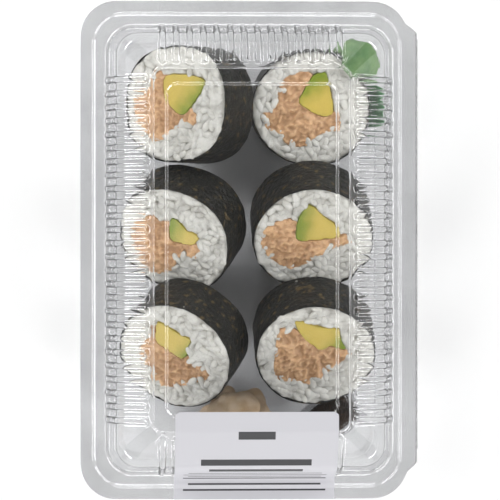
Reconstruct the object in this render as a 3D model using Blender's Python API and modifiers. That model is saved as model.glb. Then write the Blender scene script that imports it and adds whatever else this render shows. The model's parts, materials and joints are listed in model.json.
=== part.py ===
"""A takeaway sushi tray: a clear hinged box with six large cut rolls, shut.

The box lies along Y with its front at -Y. Its lid turns about the hinge line
on the +X side. Sizes below are in millimetres, and MM turns them into metres.
"""

import math

import bmesh
import bpy
from mathutils import Euler, Matrix, Vector

MM = 0.001
GAP = 0.3

# The box. A ring is (left, right, half length, corner radius, height).
SHEET = 0.4
HINGE_X = 67.25
HINGE_Z = 26.3
LEAF_GAP = 0.15
HINGE_EDGE = HINGE_X - LEAF_GAP
HINGE_FRONT = -79.6
HINGE_BACK = 90.4
CORNER_STEPS = 5
FLANGE_TOP = HINGE_Z + LEAF_GAP + SHEET
RAISED_TOP = FLANGE_TOP + 0.9
BASE_FLANGE_TOP = HINGE_Z - LEAF_GAP
BASE_RAISED_TOP = BASE_FLANGE_TOP + 0.6
FLANGE_PLAN = (-HINGE_EDGE, 63.6, 99.2, 14.5)
LID_STEP_RINGS = [
    (-61.9, 60.4, 94.0, 12.4, FLANGE_TOP),
    (-61.5, 60.0, 93.6, 12.0, RAISED_TOP),
]
LID_RIBBED_RINGS = [
    (-56.9, 56.9, 89.2, 10.5, RAISED_TOP),
    (-52.8, 52.8, 85.4, 8.5, 41.0),
    (-50.4, 50.4, 83.0, 7.5, 43.0),
    (-40.2, 40.2, 73.0, 3.2, 48.9),
]
LID_TOP_RINGS = [
    (-38.6, 38.6, 71.4, 4.4, 49.6),
    (-38.2, 38.2, 71.0, 4.2, 50.5),
    (-33.4, 33.4, 65.0, 4.2, 50.8),
    (-33.0, 33.0, 64.6, 4.0, 51.7),
]
RIB_PITCH = 5.36
SIDE_RIBS = 26
END_RIBS = 14
# How far each ribbed ring's ribs stand out and up.
RIB_RELIEF = [(0.8, 0.0), (1.0, 0.2), (0.6, 0.8), (0.0, 0.6)]
BASE_RINGS = [
    (-61.1, 59.6, 93.2, 11.6, BASE_FLANGE_TOP),
    (-60.7, 59.2, 92.8, 11.2, BASE_RAISED_TOP),
    (-56.4, 56.4, 88.7, 10.2, BASE_RAISED_TOP),
    (-51.4, 51.4, 83.9, 9.0, 2.0),
    (-50.2, 50.2, 82.7, 8.0, SHEET),
]

# The label follows the front of the lid from its top terrace to the rim.
LABEL_X = 2.0
LABEL_HALF = 32.0
LABEL_THICK = 0.2
# Each row is (distance to the front, height, half width).
LABEL_ROWS = [
    (65.2, 51.2, LABEL_HALF - 1.6),
    (65.7, 51.2, LABEL_HALF - 0.5),
    (66.8, 51.2, LABEL_HALF),
    (71.0, 51.1, LABEL_HALF),
    (73.6, 50.4, LABEL_HALF),
    (84.0, 44.4, LABEL_HALF),
    (86.9, 41.2, LABEL_HALF - 0.2),
    (90.7, RAISED_TOP + 0.8, LABEL_HALF - 0.5),
    (91.6, RAISED_TOP + GAP, LABEL_HALF - 0.6),
    (93.9, RAISED_TOP + GAP, LABEL_HALF - 0.6),
    (94.6, FLANGE_TOP + GAP, LABEL_HALF - 0.6),
    (99.2, FLANGE_TOP + GAP, LABEL_HALF - 0.6),
]

# The rolls. A roll leans on its neighbour like a fallen domino. "lean" is the
# direction its upper face looks towards, in degrees from +X, and "waves" are
# (lobes, depth, angle) of its outline. Outlines of the fillings are plan
# points about the centre of the upper face.
NORI = 0.6
ROLL_STEPS = 36
NORI_COLOUR = (0.016, 0.015, 0.011)
RICE_COLOUR = (0.62, 0.62, 0.58)
TUNA_COLOUR = (0.52, 0.31, 0.18)
AVOCADO_COLOUR = (0.55, 0.47, 0.10)
ROLLS = {
    "A": {
        "centre": (-29.6, 57.9),
        "radius": 24.3,
        "thick": 21.6,
        "tilt": 33.0,
        "lean": 180.0,
        "waves": [(4, 0.03, 45.0)],
        "avocado": [
            (-4.5, 12.3), (5.5, 11.4), (12.2, 9.2), (9.5, 3.5), (2.6, -6.3), (-5.2, 3.0),
        ],
        "tuna": [
            (-8.0, 14.5), (-10.5, 5.5), (-15.8, 3.9), (-16.6, -0.5), (-15.0, -6.0), (-11.7, -10.4),
            (-8.4, -14.9), (-5.1, -14.5), (0.6, -9.2), (6.7, -9.6), (8.7, -5.9), (7.1, -2.7),
            (2.5, 3.0), (-1.0, 8.5), (-3.0, 12.0),
        ],
    },
    "B": {
        "centre": (25.0, 56.4),
        "radius": 23.9,
        "thick": 22.0,
        "tilt": 5.0,
        "lean": 270.0,
        "waves": [(2, 0.012, 0.0), (3, 0.01, 60.0)],
        "avocado": [
            (-6.0, 2.7), (-1.3, 10.2), (-0.1, 13.0), (4.0, 14.8), (6.2, 14.6), (7.8, 6.7),
            (8.8, 2.3), (8.6, -2.4), (4.6, -3.6), (-1.7, -0.4),
        ],
        "tuna": [
            (-12.0, 11.4), (-6.4, 14.6), (0.3, 14.8), (3.0, 8.0), (5.0, 1.0), (12.1, -2.4),
            (11.9, -9.1), (7.8, -8.7), (1.5, -11.1), (-2.5, -15.8), (-10.8, -14.3),
            (-11.6, -9.9), (-17.5, -9.1), (-20.2, -3.6), (-19.5, -0.8), (-15.9, 0.8), (-13.6, 6.3),
        ],
    },
    "C": {
        "centre": (-30.2, 3.8),
        "radius": 23.7,
        "thick": 20.8,
        "tilt": 37.0,
        "lean": 232.0,
        "waves": [(2, 0.01, 150.0), (4, 0.015, 35.0)],
        "avocado": [
            (-1.7, 8.5), (0.6, 8.5), (2.6, 6.5), (5.1, 3.6), (7.5, 3.0), (10.4, 0.6),
            (7.5, -2.3), (3.8, -1.5), (-1.7, -0.5),
        ],
        "tuna": [
            (-9.0, 10.5), (-15.3, 7.7), (-17.6, 2.8), (-14.1, -5.0), (-11.7, -12.0), (-5.1, -13.5),
            (0.6, -11.5), (1.4, -7.0), (5.9, -5.8), (8.3, -7.8), (11.6, -5.0), (7.0, 0.5),
            (2.5, 4.5), (-0.5, 7.5), (-6.0, 7.7),
        ],
    },
    "D": {
        "centre": (25.2, 4.0),
        "radius": 24.0,
        "thick": 22.4,
        "tilt": 31.0,
        "lean": 270.0,
        "waves": [(2, 0.02, 0.0), (3, 0.01, 90.0)],
        "avocado": [
            (-3.3, 14.0), (0.3, 12.6), (5.0, 8.3), (8.4, 6.3), (11.7, 1.0), (1.9, -0.3),
            (-7.2, -0.8), (-7.0, 6.3),
        ],
        "tuna": [
            (-8.4, 8.7), (-15.9, 7.1), (-20.6, 3.2), (-20.8, -1.6), (-19.0, -6.1), (-13.2, -9.9),
            (-7.6, -11.9), (0.3, -8.3), (4.6, -4.7), (10.5, -2.8), (15.3, -0.8), (14.9, 2.4),
            (8.0, 2.0), (-2.0, 3.0),
        ],
    },
    "E": {
        "centre": (-29.8, -42.2),
        "radius": 23.8,
        "thick": 21.2,
        "tilt": 37.0,
        "lean": 232.0,
        "waves": [(2, 0.01, 135.0), (4, 0.01, 10.0)],
        "avocado": [
            (-7.6, 14.0), (-4.7, 13.2), (1.4, 8.9), (6.7, 6.9), (4.7, 3.0), (4.9, -0.1),
            (2.4, -1.2), (-1.9, 1.8), (-7.6, 5.4),
        ],
        "tuna": [
            (-9.6, 12.8), (-10.4, 7.9), (-15.3, 1.3), (-10.9, -3.6), (-8.4, -9.3), (-2.7, -13.3),
            (5.9, -11.3), (14.6, -8.9), (13.6, -4.8), (9.0, -3.6), (3.5, 1.5), (-3.0, 8.0),
            (-6.5, 12.0),
        ],
    },
    "F": {
        "centre": (26.0, -42.0),
        "radius": 24.0,
        "thick": 22.4,
        "tilt": 31.0,
        "lean": 270.0,
        "waves": [(2, 0.014, 0.0), (3, 0.008, 240.0)],
        "avocado": [
            (-9.3, 14.2), (-4.3, 13.3), (1.7, 11.2), (9.5, 11.0), (9.7, 6.9), (12.7, 2.2),
            (8.6, 2.8), (5.8, 4.1), (2.2, 1.7), (-2.4, 5.0), (-6.6, 8.7),
        ],
        "tuna": [
            (-14.6, 11.5), (-15.7, 7.8), (-16.2, -1.8), (-16.2, -7.3), (-14.0, -10.6), (-8.9, -10.1),
            (-4.3, -11.9), (2.2, -10.1), (6.7, -5.1), (14.1, 0.0), (13.2, 2.2), (5.0, 6.5),
            (-3.0, 9.0), (-8.5, 10.5),
        ],
    },
}

# What lies beside the rolls.
WASABI_CENTRE = (41.4, 75.0, 24.0)
WASABI_RADII = (9.6, 8.2, 9.5)
GINGER_CENTRE = (-5.0, -67.6, 6.9)
GINGER_RADII = (18.0, 14.8, 6.2)
SACHET_CENTRE = (32.6, -68.6, 4.6)
SACHET_SIZE = (28.0, 18.4)
SACHET_THICK = 6.0
SACHET_FILM = 0.8
SACHET_CRIMP = 2.4
SACHET_TURN = 37.0
# The plastic leaf's foot, as plan points, how far its rim leans out, and its teeth.
LEAF_FOOT = [(50.0, 66.2), (51.1, 61.0), (51.3, 55.0), (50.9, 49.6)]
LEAF_FOOT_Z = 12.0
LEAF_RIM_Z = 24.0
LEAF_TOOTH = 3.2
LEAF_LEAN = (2.7, 0.0)
LEAF_STEPS = 5
LEAF_THICK = 0.4


def clear_scene():
    for obj in list(bpy.data.objects):
        bpy.data.objects.remove(obj, do_unlink=True)


def new_collection(name, shown):
    collection = bpy.data.collections.new(name)
    bpy.context.scene.collection.children.link(collection)
    collection.hide_render = not shown
    return collection


def new_material(name, colour, roughness, alpha=1.0):
    material = bpy.data.materials.new(name)
    material.use_nodes = True
    shader = material.node_tree.nodes["Principled BSDF"]
    shader.inputs["Base Color"].default_value = (*colour, 1.0)
    shader.inputs["Roughness"].default_value = roughness
    shader.inputs["Metallic"].default_value = 0.0
    shader.inputs["Alpha"].default_value = alpha
    material.diffuse_color = (*colour, alpha)
    return material


def new_object(name, shape, collection, material=None, parent=None):
    """Closes a bmesh into an object, with its faces pointing out, in millimetres turned to metres."""
    bmesh.ops.scale(shape, vec=(MM, MM, MM), verts=shape.verts)
    mesh = bpy.data.meshes.new(name)
    shape.to_mesh(mesh)
    shape.free()
    obj = bpy.data.objects.new(name, mesh)
    collection.objects.link(obj)
    obj.parent = parent
    if material:
        mesh.materials.append(material)
    else:
        obj.hide_render = True
        obj.display_type = "WIRE"
    return obj


def add_solidify(obj, thickness, offset):
    modifier = obj.modifiers.new("Sheet", "SOLIDIFY")
    modifier.thickness = thickness * MM
    modifier.offset = offset


def add_cut(obj, cutter):
    modifier = obj.modifiers.new("Cut " + cutter.name, "BOOLEAN")
    modifier.operation = "DIFFERENCE"
    modifier.solver = "EXACT"
    modifier.object = cutter


# Box: rings of points, each with a place between 0 and 8 round the ring
# (even stretches are the straight sides, odd stretches the corners).


def rib_offsets(count):
    """Places across a side of the valleys and crests of its ribs, with how far each is raised."""
    half = count * RIB_PITCH / 2
    return [(k * RIB_PITCH / 2 - half, float(k % 2)) for k in range(2 * count + 1)]


def ring_points(left, right, half_length, radius, height, relief=None):
    """Corner arcs of a rounded rectangle, joined by straight sides that can carry ribs."""
    middle = (left + right) / 2
    half_width = (right - left) / 2
    ribs = {0: SIDE_RIBS, 1: END_RIBS, 2: SIDE_RIBS, 3: END_RIBS}
    points = []
    for side in range(4):
        turn = Matrix.Rotation(side * math.pi / 2, 2)
        reach, run = (half_width, half_length) if side % 2 == 0 else (half_length, half_width)
        straight = run - radius
        if relief:
            for along, crest in rib_offsets(ribs[side]):
                if abs(along) < straight:
                    spot = turn @ Vector((reach + crest * relief[0], along))
                    place = 2 * side + (along + straight) / (2 * straight)
                    points.append((place, spot.x + middle, spot.y, height + crest * relief[1]))
        centre = Vector((reach - radius, run - radius))
        for k in range(CORNER_STEPS + 1):
            angle = k * math.pi / 2 / CORNER_STEPS
            spot = turn @ (centre + radius * Vector((math.cos(angle), math.sin(angle))))
            points.append((2 * side + 1 + k / CORNER_STEPS, spot.x + middle, spot.y, height))
    return points


def flange_points(height):
    """The rim's outline, with the strip that reaches out to the hinge line on the right."""
    left, right, half_length, radius = FLANGE_PLAN
    points = ring_points(left, right, half_length, radius, height)
    strip = [(right, HINGE_FRONT), (HINGE_EDGE, HINGE_FRONT), (HINGE_EDGE, HINGE_BACK)]
    strip.append((right, HINGE_BACK - 0.01))
    high = half_length - radius
    points = [point for point in points if point[0] > 1 or point[2] > high]
    inset = []
    for x, y in strip:
        y = max(-high, min(high, y))
        inset.append(((y + high) / (2 * high), x, y, height))
    return inset + points


def skin(rings):
    """Joins each ring to the next one inside it and closes the last, with the faces looking up."""
    shape = bmesh.new()
    rows = [[(p[0], shape.verts.new(p[1:])) for p in ring] for ring in rings]
    for low, high in zip(rows, rows[1:]):
        join_rows(shape, low, high)
    shape.faces.new([vert for place, vert in rows[-1]])
    return shape


def join_rows(shape, low, high):
    """Triangles between two rings, stepping along whichever is behind."""
    low = low + [(low[0][0] + 8, low[0][1])]
    high = high + [(high[0][0] + 8, high[0][1])]
    i = 0
    j = 0
    while i < len(low) - 1 or j < len(high) - 1:
        step_low = j == len(high) - 1
        if i < len(low) - 1 and not step_low:
            step_low = low[i + 1][0] <= high[j + 1][0]
        if step_low:
            shape.faces.new((low[i][1], low[i + 1][1], high[j][1]))
            i += 1
        else:
            shape.faces.new((low[i][1], high[j + 1][1], high[j][1]))
            j += 1


def make_base(collection, material):
    rings = [flange_points(BASE_FLANGE_TOP)]
    rings += [ring_points(*ring) for ring in BASE_RINGS]
    base = new_object("tray_base", skin(rings), collection, material)
    add_solidify(base, SHEET, -1.0)


def make_lid(collection, material, hinge):
    rings = [flange_points(FLANGE_TOP)]
    rings += [ring_points(*ring) for ring in LID_STEP_RINGS]
    rings += [ring_points(*ring, relief) for ring, relief in zip(LID_RIBBED_RINGS, RIB_RELIEF)]
    rings += [ring_points(*ring) for ring in LID_TOP_RINGS]
    lid = new_object("lid", skin(rings), collection, material)
    add_solidify(lid, SHEET, -1.0)
    hang(lid, hinge)


def make_label(collection, material, hinge):
    shape = bmesh.new()
    rows = []
    for front, height, half in LABEL_ROWS:
        ends = (LABEL_X - half, LABEL_X + half)
        rows.append([shape.verts.new((x, -front, height + GAP)) for x in ends])
    for (a, b), (c, d) in zip(rows, rows[1:]):
        shape.faces.new((a, c, d, b))
    label = new_object("label", shape, collection, material)
    add_solidify(label, LABEL_THICK, 1.0)
    hang(label, hinge)
    return label


def hang(obj, hinge):
    """Gives the piece its origin on the hinge line, without moving it."""
    obj.data.transform(Matrix.Translation(-hinge.location))
    obj.parent = hinge


# Rolls


def roll_outline(roll, inset):
    points = []
    for k in range(ROLL_STEPS):
        angle = 2 * math.pi * k / ROLL_STEPS
        wave = sum(d * math.cos(n * (angle - math.radians(a))) for n, d, a in roll["waves"])
        radius = roll["radius"] * (1 + wave) - inset
        points.append(Vector((radius * math.cos(angle), radius * math.sin(angle))))
    return points


def onto_face(points, roll):
    """Plan points as places on the tilted face."""
    lean = math.radians(roll["lean"])
    along = Vector((math.cos(lean), math.sin(lean)))
    stretch = 1 / math.cos(math.radians(roll["tilt"])) - 1
    return [p + stretch * p.dot(along) * along for p in map(Vector, points)]


def rounded(points, share):
    """Cuts each corner of an outline between two points on its sides."""
    result = []
    for before, here, after in zip(points[-1:] + points[:-1], points, points[1:] + points[:1]):
        result.append(here.lerp(before, share))
        result.append(here.lerp(after, share))
    return result


def grown(points, distance):
    """The outline moved out by a distance along the bisectors of its corners."""
    area = sum(a.cross(b) for a, b in zip(points, points[1:] + points[:1]))
    side = 1 if area > 0 else -1
    result = []
    for before, here, after in zip(points[-1:] + points[:-1], points, points[1:] + points[:1]):
        first = (here - before).normalized()
        second = (after - here).normalized()
        normal = Vector((first.y + second.y, -first.x - second.x)).normalized()
        reach = max(0.5, normal.dot(Vector((first.y, -first.x))))
        result.append(here + normal * side * distance / reach)
    return result


def prism(points, top, bottom):
    shape = bmesh.new()
    face = shape.faces.new([shape.verts.new((p.x, p.y, bottom)) for p in points])
    sides = bmesh.ops.extrude_face_region(shape, geom=[face])
    lifted = [item for item in sides["geom"] if isinstance(item, bmesh.types.BMVert)]
    bmesh.ops.translate(shape, verts=lifted, vec=(0, 0, top - bottom))
    bmesh.ops.recalc_face_normals(shape, faces=shape.faces)
    return shape


def tube(points, top, bottom):
    shape = bmesh.new()
    low = [shape.verts.new((p.x, p.y, bottom)) for p in points]
    high = [shape.verts.new((p.x, p.y, top)) for p in points]
    for k in range(len(points)):
        n = (k + 1) % len(points)
        shape.faces.new((low[k], low[n], high[n], high[k]))
    return shape


def face_height(roll):
    """Height of the upper face's centre, with the roll's lowest edge just clear of the floor."""
    tilt = math.radians(roll["tilt"])
    reach = max(p.length for p in roll_outline(roll, 0))
    return SHEET + GAP + 0.1 + reach * math.sin(tilt) + roll["thick"] * math.cos(tilt)


def roll_parent(key, roll, collection):
    empty = bpy.data.objects.new("roll_" + key, None)
    empty.location = Vector((*roll["centre"], face_height(roll))) * MM
    lean = math.radians(roll["lean"])
    axis = Vector((-math.sin(lean), math.cos(lean), 0))
    empty.rotation_mode = "QUATERNION"
    empty.rotation_quaternion = Matrix.Rotation(math.radians(roll["tilt"]), 3, axis).to_quaternion()
    collection.objects.link(empty)
    return empty


def make_roll(key, roll, parts, cutters, materials):
    parent = roll_parent(key, roll, parts)
    depth = roll["thick"]
    skin_top = -0.5
    outside = roll_outline(roll, 0)
    nori = new_object("nori_" + key, tube(outside, skin_top, -depth), parts, materials["nori"], parent)
    add_solidify(nori, NORI, -1.0)

    avocado_line = rounded(onto_face(roll["avocado"], roll), 0.15)
    tuna_line = rounded(onto_face(roll["tuna"], roll), 0.25)
    avocado = prism(avocado_line, -0.2, -depth)
    new_object("avocado_" + key, avocado, parts, materials["avocado"], parent)
    tuna = new_object("tuna_" + key, prism(tuna_line, -0.1, -depth), parts, materials["tuna"], parent)
    rice_line = roll_outline(roll, NORI + GAP)
    rice = new_object("rice_" + key, prism(rice_line, 0, -depth), parts, materials["rice"], parent)

    avocado_cut = prism(grown(avocado_line, GAP), 2, -depth - 2)
    avocado_cutter = new_object("cut_avocado_" + key, avocado_cut, cutters, parent=parent)
    tuna_cut = prism(grown(tuna_line, GAP), 3, -depth - 3)
    tuna_cutter = new_object("cut_tuna_" + key, tuna_cut, cutters, parent=parent)
    add_cut(tuna, avocado_cutter)
    add_cut(rice, avocado_cutter)
    add_cut(rice, tuna_cutter)

    room = prism(roll_outline(roll, -GAP), GAP, -depth - GAP)
    return new_object("room_" + key, room, cutters, parent=parent)


# What lies beside the rolls


def blob(centre, radii, waves, floor=None):
    """A lumpy ball, flat below where it lies on a floor."""
    shape = bmesh.new()
    bmesh.ops.create_icosphere(shape, subdivisions=2, radius=1)
    for vert in shape.verts:
        way = vert.co.normalized()
        lump = sum(d * math.sin(n * way.x + m * way.y + n * way.z) for n, m, d in waves)
        vert.co = Vector(centre) + (1 + lump) * Vector(r * w for r, w in zip(radii, way))
        if floor is not None:
            vert.co.z = max(vert.co.z, floor)
    return shape


def make_wasabi(collection, material, room):
    shape = blob(WASABI_CENTRE, WASABI_RADII, [(3, 5, 0.04), (5, -4, 0.03)])
    wasabi = new_object("wasabi", shape, collection, material)
    add_cut(wasabi, room)


def make_ginger(collection, material, rooms):
    floor = SHEET + GAP
    shape = blob(GINGER_CENTRE, GINGER_RADII, [(3, 4, 0.05), (6, -5, 0.03)], floor)
    ginger = new_object("ginger", shape, collection, material)
    for room in rooms:
        add_cut(ginger, room)


def make_sachet(collection, material):
    """A filled pillow inside a flat crimped edge."""
    shape = bmesh.new()
    half_x = SACHET_SIZE[0] / 2
    half_y = SACHET_SIZE[1] / 2
    grids = []
    for side in (1, -1):
        columns = [-half_x, SACHET_CRIMP - half_x, -half_x / 2, 0, half_x / 2, half_x - SACHET_CRIMP, half_x]
        rows = [-half_y, SACHET_CRIMP - half_y, -half_y / 3, half_y / 3, half_y - SACHET_CRIMP, half_y]
        grid = []
        for x in columns:
            line = []
            for y in rows:
                across = max(0.0, 1 - (x / (half_x - SACHET_CRIMP)) ** 2)
                along = max(0.0, 1 - (y / (half_y - SACHET_CRIMP)) ** 2)
                bulge = (SACHET_THICK - SACHET_FILM) / 2 * (across * along) ** 0.4
                line.append(shape.verts.new((x, y, side * (SACHET_FILM / 2 + bulge))))
            grid.append(line)
        for i in range(len(columns) - 1):
            for j in range(len(rows) - 1):
                shape.faces.new((grid[i][j], grid[i + 1][j], grid[i + 1][j + 1], grid[i][j + 1]))
        grids.append(grid)
    upper, lower = grids
    edge = [(i, 0) for i in range(6)] + [(6, j) for j in range(5)]
    edge += [(i, 5) for i in range(6, 0, -1)] + [(0, j) for j in range(5, 0, -1)]
    for (a, b), (c, d) in zip(edge, edge[1:] + edge[:1]):
        shape.faces.new((upper[a][b], upper[c][d], lower[c][d], lower[a][b]))
    bmesh.ops.recalc_face_normals(shape, faces=shape.faces)
    sachet = new_object("soy_sachet", shape, collection, material)
    sachet.location = Vector(SACHET_CENTRE) * MM
    sachet.rotation_euler = Euler((0, 0, math.radians(SACHET_TURN)))


def make_leaf(collection, material):
    """A thin plastic leaf on its foot, leaning out at a saw-toothed rim."""
    shape = bmesh.new()
    rows = []
    spans = list(zip(LEAF_FOOT, LEAF_FOOT[1:]))
    spots = [Vector(a).lerp(Vector(b), k / LEAF_STEPS) for a, b in spans for k in range(LEAF_STEPS)]
    for index, spot in enumerate(spots):
        tooth = LEAF_TOOTH * (index % 2)
        share = (LEAF_RIM_Z + tooth - LEAF_FOOT_Z) / (LEAF_RIM_Z - LEAF_FOOT_Z)
        rim = spot + share * Vector(LEAF_LEAN)
        low = shape.verts.new((spot.x, spot.y, LEAF_FOOT_Z))
        rows.append((low, shape.verts.new((rim.x, rim.y, LEAF_RIM_Z + tooth))))
    for (a, b), (c, d) in zip(rows, rows[1:]):
        shape.faces.new((a, c, d, b))
    leaf = new_object("leaf", shape, collection, material)
    add_solidify(leaf, LEAF_THICK, 0.0)


def main():
    clear_scene()
    parts = new_collection("sushi_tray", shown=True)
    cutters = new_collection("cutters", shown=False)
    hinge = bpy.data.objects.new("lid_hinge", None)
    hinge.location = Vector((HINGE_X, 0, HINGE_Z)) * MM
    parts.objects.link(hinge)

    make_base(parts, new_material("clear_base", (0.80, 0.82, 0.83), 0.08, 0.35))
    make_lid(parts, new_material("clear_lid", (0.82, 0.84, 0.85), 0.06, 0.35), hinge)
    make_label(parts, new_material("label_paper", (0.66, 0.66, 0.69), 0.5), hinge)

    rooms = {}
    for key, roll in ROLLS.items():
        materials = {
            "nori": new_material("nori_" + key, NORI_COLOUR, 0.45),
            "rice": new_material("rice_" + key, RICE_COLOUR, 0.45),
            "tuna": new_material("tuna_" + key, TUNA_COLOUR, 0.55),
            "avocado": new_material("avocado_" + key, AVOCADO_COLOUR, 0.4),
        }
        rooms[key] = make_roll(key, roll, parts, cutters, materials)

    make_wasabi(parts, new_material("wasabi", (0.16, 0.30, 0.12), 0.6), rooms["B"])
    make_ginger(parts, new_material("ginger", (0.40, 0.28, 0.17), 0.35), [rooms["E"], rooms["F"]])
    make_sachet(parts, new_material("sachet", (0.06, 0.05, 0.04), 0.15))
    make_leaf(parts, new_material("leaf", (0.03, 0.16, 0.04), 0.4))


main()
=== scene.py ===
import json
import math
import random

import bmesh
import bpy
import numpy as np
from mathutils import Matrix, Vector, noise


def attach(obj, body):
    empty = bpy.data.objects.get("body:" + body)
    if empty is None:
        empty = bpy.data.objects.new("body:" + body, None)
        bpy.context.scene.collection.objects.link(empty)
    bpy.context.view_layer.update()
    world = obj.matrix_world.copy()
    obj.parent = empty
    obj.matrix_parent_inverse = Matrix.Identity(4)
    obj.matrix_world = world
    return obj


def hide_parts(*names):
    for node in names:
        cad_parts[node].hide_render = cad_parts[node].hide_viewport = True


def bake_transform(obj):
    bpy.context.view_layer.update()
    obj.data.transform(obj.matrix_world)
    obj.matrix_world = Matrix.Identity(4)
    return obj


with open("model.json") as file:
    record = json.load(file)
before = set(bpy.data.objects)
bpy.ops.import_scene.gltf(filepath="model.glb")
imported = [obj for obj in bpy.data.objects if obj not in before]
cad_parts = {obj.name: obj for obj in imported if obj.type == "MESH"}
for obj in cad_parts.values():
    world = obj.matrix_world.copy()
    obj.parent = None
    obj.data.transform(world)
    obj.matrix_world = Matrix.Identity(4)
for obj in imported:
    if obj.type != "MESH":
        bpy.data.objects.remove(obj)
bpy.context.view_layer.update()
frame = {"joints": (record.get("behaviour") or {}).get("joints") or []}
mm = 0.001
scene = bpy.context.scene
hinge = next(joint for joint in frame["joints"] if joint["name"] == "lid_hinge")
hingeX = hinge["pos_m"][0] / mm
hingeZ = hinge["pos_m"][2] / mm


# Small tools for the work below

def deselectAll():
    if bpy.context.object and bpy.context.object.mode != "OBJECT":
        bpy.ops.object.mode_set(mode="OBJECT")
    bpy.ops.object.select_all(action="DESELECT")


def pick(obj):
    deselectAll()
    obj.select_set(True)
    bpy.context.view_layer.objects.active = obj


def newest(name):
    obj = bpy.context.object
    obj.name = name
    obj.data.name = name
    return obj


def inPlace(obj):  # moves the object's place, turn and size into its mesh
    pick(obj)
    bpy.ops.object.transform_apply(location=True, rotation=True, scale=True)


def applyAll(obj):
    pick(obj)
    for modifier in list(obj.modifiers):
        bpy.ops.object.modifier_apply(modifier=modifier.name)


def smoothAt(obj, degrees):
    pick(obj)
    bpy.ops.object.shade_smooth_by_angle(angle=math.radians(degrees))


def editAll():  # opens the active object's mesh with everything selected
    bpy.ops.object.mode_set(mode="EDIT")
    bpy.ops.mesh.select_all(action="SELECT")


def thicken(obj, wall, offset):  # gives a bare sheet its wall, in millimetres
    sheet = obj.modifiers.new("wall", "SOLIDIFY")
    sheet.thickness = wall * mm
    sheet.offset = offset
    applyAll(obj)


def mergeClose(obj, facesOut):
    pick(obj)
    editAll()
    bpy.ops.mesh.remove_doubles(threshold=0.00001)
    if facesOut:
        bpy.ops.mesh.normals_make_consistent(inside=False)
    bpy.ops.object.mode_set(mode="OBJECT")


def meshPiece(name, points, faces):  # points in millimetres
    mesh = bpy.data.meshes.new(name)
    mesh.from_pydata([tuple(c * mm for c in p) for p in points], [], faces)
    obj = bpy.data.objects.new(name, mesh)
    scene.collection.objects.link(obj)
    return obj


def smoothStep(low, high, value):
    share = min(1.0, max(0.0, (value - low) / (high - low)))
    return share * share * (3 - 2 * share)


# Shader groups that several finishes share

def shaderGroup(name, inputs, outputs):
    group = bpy.data.node_groups.new(name, "ShaderNodeTree")
    for label, kind, value in inputs:
        socket = group.interface.new_socket(name=label, in_out="INPUT", socket_type=kind)
        socket.default_value = value
    for label, kind in outputs:
        group.interface.new_socket(name=label, in_out="OUTPUT", socket_type=kind)
    enter = group.nodes.new("NodeGroupInput")
    leave = group.nodes.new("NodeGroupOutput")
    return group, enter, leave


def mottleGroup():  # two colours mixed by soft uneven blotches
    inputs = [
        ("Colour", "NodeSocketColor", (0.5, 0.5, 0.5, 1)),
        ("Other", "NodeSocketColor", (0.5, 0.5, 0.5, 1)),
        ("Scale", "NodeSocketFloat", 200.0),
        ("Low", "NodeSocketFloat", 0.4),
        ("High", "NodeSocketFloat", 0.6),
    ]
    outputs = [("Colour", "NodeSocketColor"), ("Mask", "NodeSocketFloat")]
    group, enter, leave = shaderGroup("mottle", inputs, outputs)
    nodes, links = group.nodes, group.links
    place = nodes.new("ShaderNodeTexCoord")
    cloud = nodes.new("ShaderNodeTexNoise")
    cloud.inputs["Detail"].default_value = 4.0
    spread = nodes.new("ShaderNodeMapRange")
    spread.interpolation_type = "SMOOTHSTEP"
    blend = nodes.new("ShaderNodeMix")
    blend.data_type = "RGBA"
    links.new(place.outputs["Object"], cloud.inputs["Vector"])
    links.new(enter.outputs["Scale"], cloud.inputs["Scale"])
    links.new(cloud.outputs["Fac"], spread.inputs["Value"])
    links.new(enter.outputs["Low"], spread.inputs["From Min"])
    links.new(enter.outputs["High"], spread.inputs["From Max"])
    links.new(spread.outputs["Result"], blend.inputs["Factor"])
    links.new(enter.outputs["Colour"], blend.inputs["A"])
    links.new(enter.outputs["Other"], blend.inputs["B"])
    links.new(blend.outputs["Result"], leave.inputs["Colour"])
    links.new(spread.outputs["Result"], leave.inputs["Mask"])
    return group


def reliefGroup():  # fine noise as a height for a Bump node
    inputs = [("Scale", "NodeSocketFloat", 800.0), ("Detail", "NodeSocketFloat", 3.0)]
    group, enter, leave = shaderGroup("relief", inputs, [("Height", "NodeSocketFloat")])
    nodes, links = group.nodes, group.links
    place = nodes.new("ShaderNodeTexCoord")
    cloud = nodes.new("ShaderNodeTexNoise")
    links.new(place.outputs["Object"], cloud.inputs["Vector"])
    links.new(enter.outputs["Scale"], cloud.inputs["Scale"])
    links.new(enter.outputs["Detail"], cloud.inputs["Detail"])
    links.new(cloud.outputs["Fac"], leave.inputs["Height"])
    return group


mottle = mottleGroup()
relief = reliefGroup()


def newMaterial(name, roughness):
    material = bpy.data.materials.new(name)
    material.use_nodes = True
    nodes, links = material.node_tree.nodes, material.node_tree.links
    shader = nodes["Principled BSDF"]
    shader.inputs["Roughness"].default_value = roughness
    return material, nodes, links, shader


def addMottle(nodes, links, shader, colour, other, scale, low, high):  # colours the shader in two tones
    blotch = nodes.new("ShaderNodeGroup")
    blotch.node_tree = mottle
    if isinstance(colour, bpy.types.NodeSocket):
        links.new(colour, blotch.inputs["Colour"])
    else:
        blotch.inputs["Colour"].default_value = (*colour, 1)
    blotch.inputs["Other"].default_value = (*other, 1)
    blotch.inputs["Scale"].default_value = scale
    blotch.inputs["Low"].default_value = low
    blotch.inputs["High"].default_value = high
    links.new(blotch.outputs["Colour"], shader.inputs["Base Color"])


def addMix(nodes, links, factor, colour, other):  # goes from one colour to the other with the factor
    tone = nodes.new("ShaderNodeMix")
    tone.data_type = "RGBA"
    tone.inputs["A"].default_value = (*colour, 1)
    tone.inputs["B"].default_value = (*other, 1)
    links.new(factor, tone.inputs["Factor"])
    return tone.outputs["Result"]


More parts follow.
